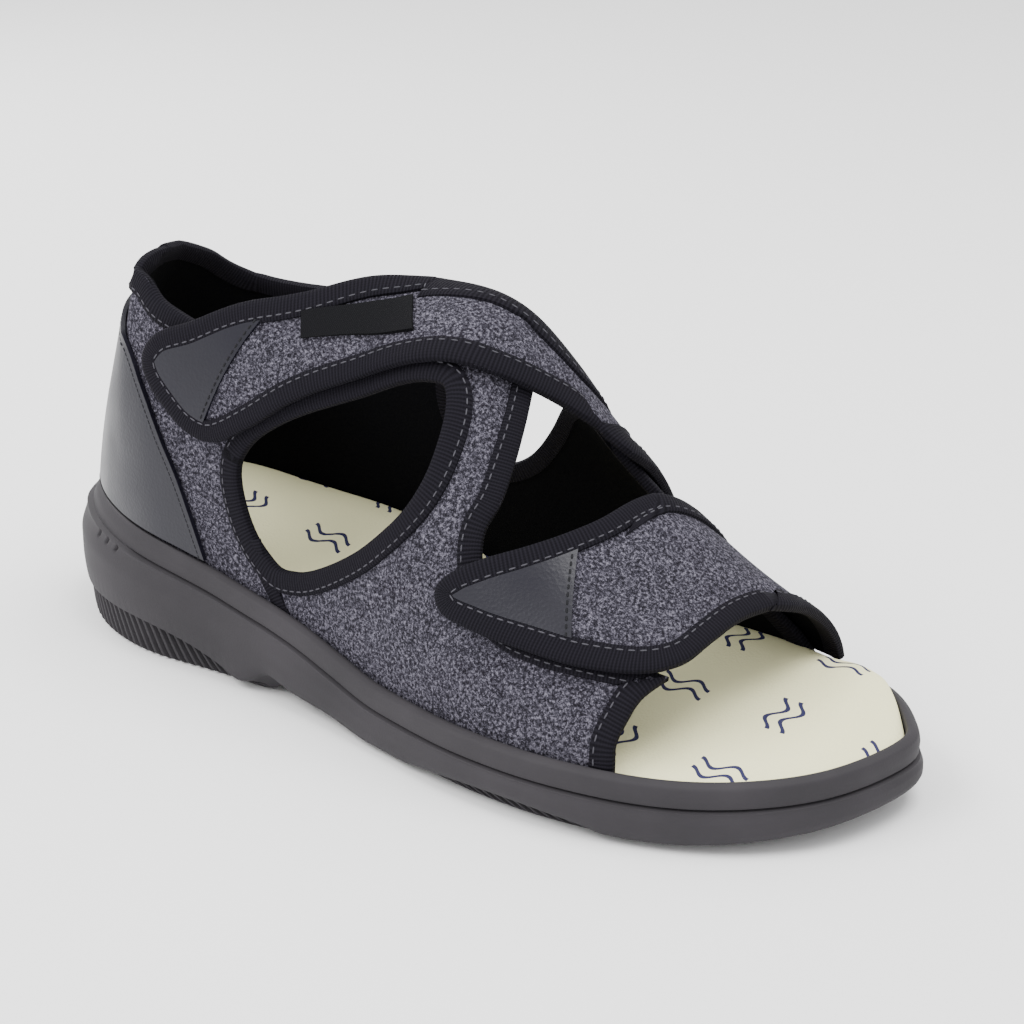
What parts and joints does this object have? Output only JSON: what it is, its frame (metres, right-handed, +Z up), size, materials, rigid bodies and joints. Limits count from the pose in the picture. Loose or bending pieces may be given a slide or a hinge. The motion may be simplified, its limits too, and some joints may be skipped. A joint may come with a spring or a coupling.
{
  "type": "comfort shoe",
  "caption": "Open-toed comfort shoe for the right foot, with a cloth upper, side windows, leather heel counter, two fastening straps and a moulded wedge sole",
  "frame": {"origin": "on the floor, under the middle of the shoe's box", "axes": "X along the shoe towards the toe, Y towards the inner (big toe) side, Z up"},
  "size_m": [0.2678, 0.101, 0.1161],
  "materials": {
    "sole_charcoal": "matt",
    "melange_cloth": "matt",
    "footbed_cloth": "matt",
    "soft_leather": "satin",
    "woven_black": "matt"
  },
  "bodies": {
    "root": {"outsole": "sole_charcoal", "insole": "footbed_cloth", "upper": "melange_cloth", "heel_counter": "soft_leather", "ankle_strap": "melange_cloth", "ankle_strap_tab": "soft_leather", "toe_strap": "melange_cloth", "toe_strap_tab": "soft_leather", "label_patch": "woven_black"}
  },
  "joints": []
}
